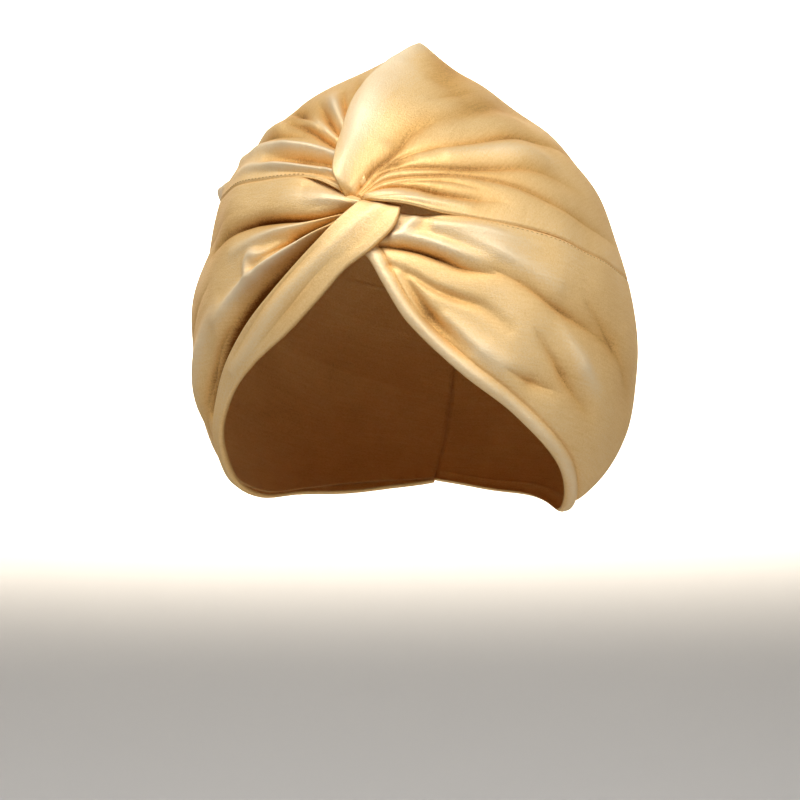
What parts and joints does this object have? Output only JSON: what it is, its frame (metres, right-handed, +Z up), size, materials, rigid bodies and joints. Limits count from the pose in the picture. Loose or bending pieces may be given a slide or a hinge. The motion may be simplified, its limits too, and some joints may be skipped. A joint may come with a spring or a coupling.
{
  "type": "turban headwrap",
  "caption": "Twist-front satin turban headwrap, pleated into a knot over the forehead, hollow and open below, in the form it has when worn.",
  "frame": {"origin": "centre of the head opening, level with the lowest edge of the cloth and straight below the centre of the head form", "axes": "+Z up along the wearer's head, -Y towards the front where the knot is, +X towards the wearer's left"},
  "size_m": [0.2048, 0.2284, 0.2129],
  "materials": {
    "satin": "soft satin sheen"
  },
  "bodies": {
    "root": {"crown_right": "satin", "crown_left": "satin", "wrap_right": "satin", "wrap_left": "satin", "twist_strap": "satin"}
  },
  "joints": []
}
